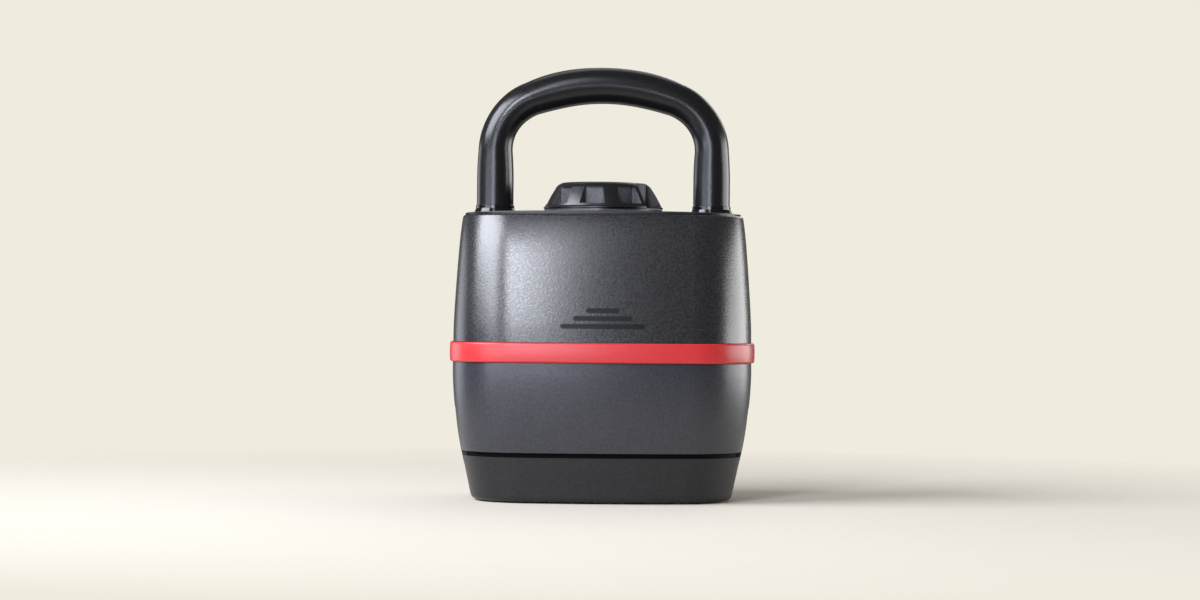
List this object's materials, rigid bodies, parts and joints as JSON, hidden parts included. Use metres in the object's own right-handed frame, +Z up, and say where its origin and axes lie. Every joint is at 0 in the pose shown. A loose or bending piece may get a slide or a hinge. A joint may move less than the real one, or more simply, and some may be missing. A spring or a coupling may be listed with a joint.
{
  "type": "adjustable kettlebell",
  "caption": "Adjustable kettlebell with an arched handle, a weight-selecting dial, a rounded tapering shell with a raised band, and nested iron plates, standing in a shallow base tray.",
  "frame": {"origin": "on the floor under the middle of the body, at the bottom of the base's feet", "axes": "+Z up through the handle, -Y the front, +X to the right seen from the front, along the handle"},
  "size_m": [0.2234, 0.1778, 0.3175],
  "materials": {
    "base_tray": "satin",
    "base_seat_ring": "matte",
    "base_cradle": "matte",
    "cradle_pads": "matte",
    "base_post": "satin",
    "base_feet": "matte",
    "base_screws": "satin",
    "lower_shell": "satin",
    "band": "satin",
    "upper_shell": "satin",
    "cover_plate": "satin",
    "scale_ring": "satin",
    "shell_screws": "satin",
    "chassis_plate": "satin",
    "standoffs": "satin",
    "standoff_screws": "satin",
    "bearing_bush": "satin",
    "thrust_washer": "satin",
    "lock_ring": "satin",
    "detent_block": "satin",
    "detent_spring": "satin",
    "handle_tube": "satin",
    "handle_grip": "satin",
    "handle_collars": "gloss",
    "handle_plugs": "satin",
    "handle_bolts": "satin",
    "dial_body": "satin",
    "dial_cap": "satin",
    "dial_screw": "satin",
    "spindle": "satin",
    "rod_bush": "satin",
    "cam_nut": "satin",
    "selector_cam_1": "satin",
    "selector_cam_2": "satin",
    "selector_cam_3": "satin",
    "selector_cam_4": "satin",
    "selector_cam_5": "satin",
    "cam_spacers": "satin",
    "detent_wheel": "satin",
    "lock_spring": "satin",
    "lock_rod": "satin",
    "lock_pin": "satin",
    "plate_1_iron": "matte",
    "plate_1_rim": "satin",
    "plate_1_hub": "satin",
    "plate_2_iron": "matte",
    "plate_2_rim": "satin",
    "plate_2_hub": "satin",
    "plate_3_iron": "matte",
    "plate_3_rim": "satin",
    "plate_3_hub": "satin",
    "plate_4_iron": "matte",
    "plate_4_rim": "satin",
    "plate_4_hub": "satin",
    "plate_5_iron": "matte",
    "plate_5_rim": "satin",
    "plate_5_hub": "satin"
  },
  "bodies": {
    "base": {"base_tray": "base_tray", "base_seat_ring": "base_seat_ring", "base_cradle": "base_cradle", "cradle_pads": "cradle_pads", "base_post": "base_post", "base_feet": "base_feet", "base_screws": "base_screws"},
    "bell": {"lower_shell": "lower_shell", "band": "band", "upper_shell": "upper_shell", "cover_plate": "cover_plate", "scale_ring": "scale_ring", "shell_screws": "shell_screws", "chassis_plate": "chassis_plate", "standoffs": "standoffs", "standoff_screws": "standoff_screws", "bearing_bush": "bearing_bush", "thrust_washer": "thrust_washer", "lock_ring": "lock_ring", "detent_block": "detent_block", "detent_spring": "detent_spring", "handle_tube": "handle_tube", "handle_grip": "handle_grip", "handle_collars": "handle_collars", "handle_plugs": "handle_plugs", "handle_bolts": "handle_bolts"},
    "selector": {"dial_body": "dial_body", "dial_cap": "dial_cap", "dial_screw": "dial_screw", "spindle": "spindle", "rod_bush": "rod_bush", "cam_nut": "cam_nut", "selector_cam_1": "selector_cam_1", "selector_cam_2": "selector_cam_2", "selector_cam_3": "selector_cam_3", "selector_cam_4": "selector_cam_4", "selector_cam_5": "selector_cam_5", "cam_spacers": "cam_spacers", "detent_wheel": "detent_wheel", "lock_spring": "lock_spring"},
    "lock": {"lock_rod": "lock_rod", "lock_pin": "lock_pin"},
    "plate_1": {"plate_1_iron": "plate_1_iron", "plate_1_rim": "plate_1_rim", "plate_1_hub": "plate_1_hub"},
    "plate_2": {"plate_2_iron": "plate_2_iron", "plate_2_rim": "plate_2_rim", "plate_2_hub": "plate_2_hub"},
    "plate_3": {"plate_3_iron": "plate_3_iron", "plate_3_rim": "plate_3_rim", "plate_3_hub": "plate_3_hub"},
    "plate_4": {"plate_4_iron": "plate_4_iron", "plate_4_rim": "plate_4_rim", "plate_4_hub": "plate_4_hub"},
    "plate_5": {"plate_5_iron": "plate_5_iron", "plate_5_rim": "plate_5_rim", "plate_5_hub": "plate_5_hub"}
  },
  "joints": [
    {"name": "bell_lift", "type": "slide", "parent": "base", "child": "bell", "axis": [0, 0, 1], "range_m": [0, 0.2]},
    {"name": "plate_1_lift", "type": "slide", "parent": "base", "child": "plate_1", "axis": [0, 0, 1], "range_m": [0, 0.2]},
    {"name": "plate_2_lift", "type": "slide", "parent": "base", "child": "plate_2", "axis": [0, 0, 1], "range_m": [0, 0.2]},
    {"name": "plate_3_lift", "type": "slide", "parent": "base", "child": "plate_3", "axis": [0, 0, 1], "range_m": [0, 0.2]},
    {"name": "plate_4_lift", "type": "slide", "parent": "base", "child": "plate_4", "axis": [0, 0, 1], "range_m": [0, 0.2]},
    {"name": "plate_5_lift", "type": "slide", "parent": "base", "child": "plate_5", "axis": [0, 0, 1], "range_m": [0, 0.2]},
    {"name": "dial_turn", "type": "hinge", "parent": "bell", "child": "selector", "pos_m": [0, 0, 0.2], "axis": [0, 0, 1], "range_deg": [0, 225], "deforming": ["detent_spring"]},
    {"name": "lock_slide", "type": "slide", "parent": "selector", "child": "lock", "axis": [0, 0, 1], "range_m": [-0.006, 0], "deforming": ["lock_spring"]}
  ],
  "couplings": [
    {"joint": "plate_1_lift", "follows": "bell_lift", "ratio": 1},
    {"joint": "plate_2_lift", "follows": "bell_lift", "ratio": 1},
    {"joint": "plate_3_lift", "follows": "bell_lift", "ratio": 1},
    {"joint": "plate_4_lift", "follows": "bell_lift", "ratio": 1},
    {"joint": "plate_5_lift", "follows": "bell_lift", "ratio": 1},
    {"joint": "lock_slide", "follows": "bell_lift", "ratio": -0.03}
  ]
}
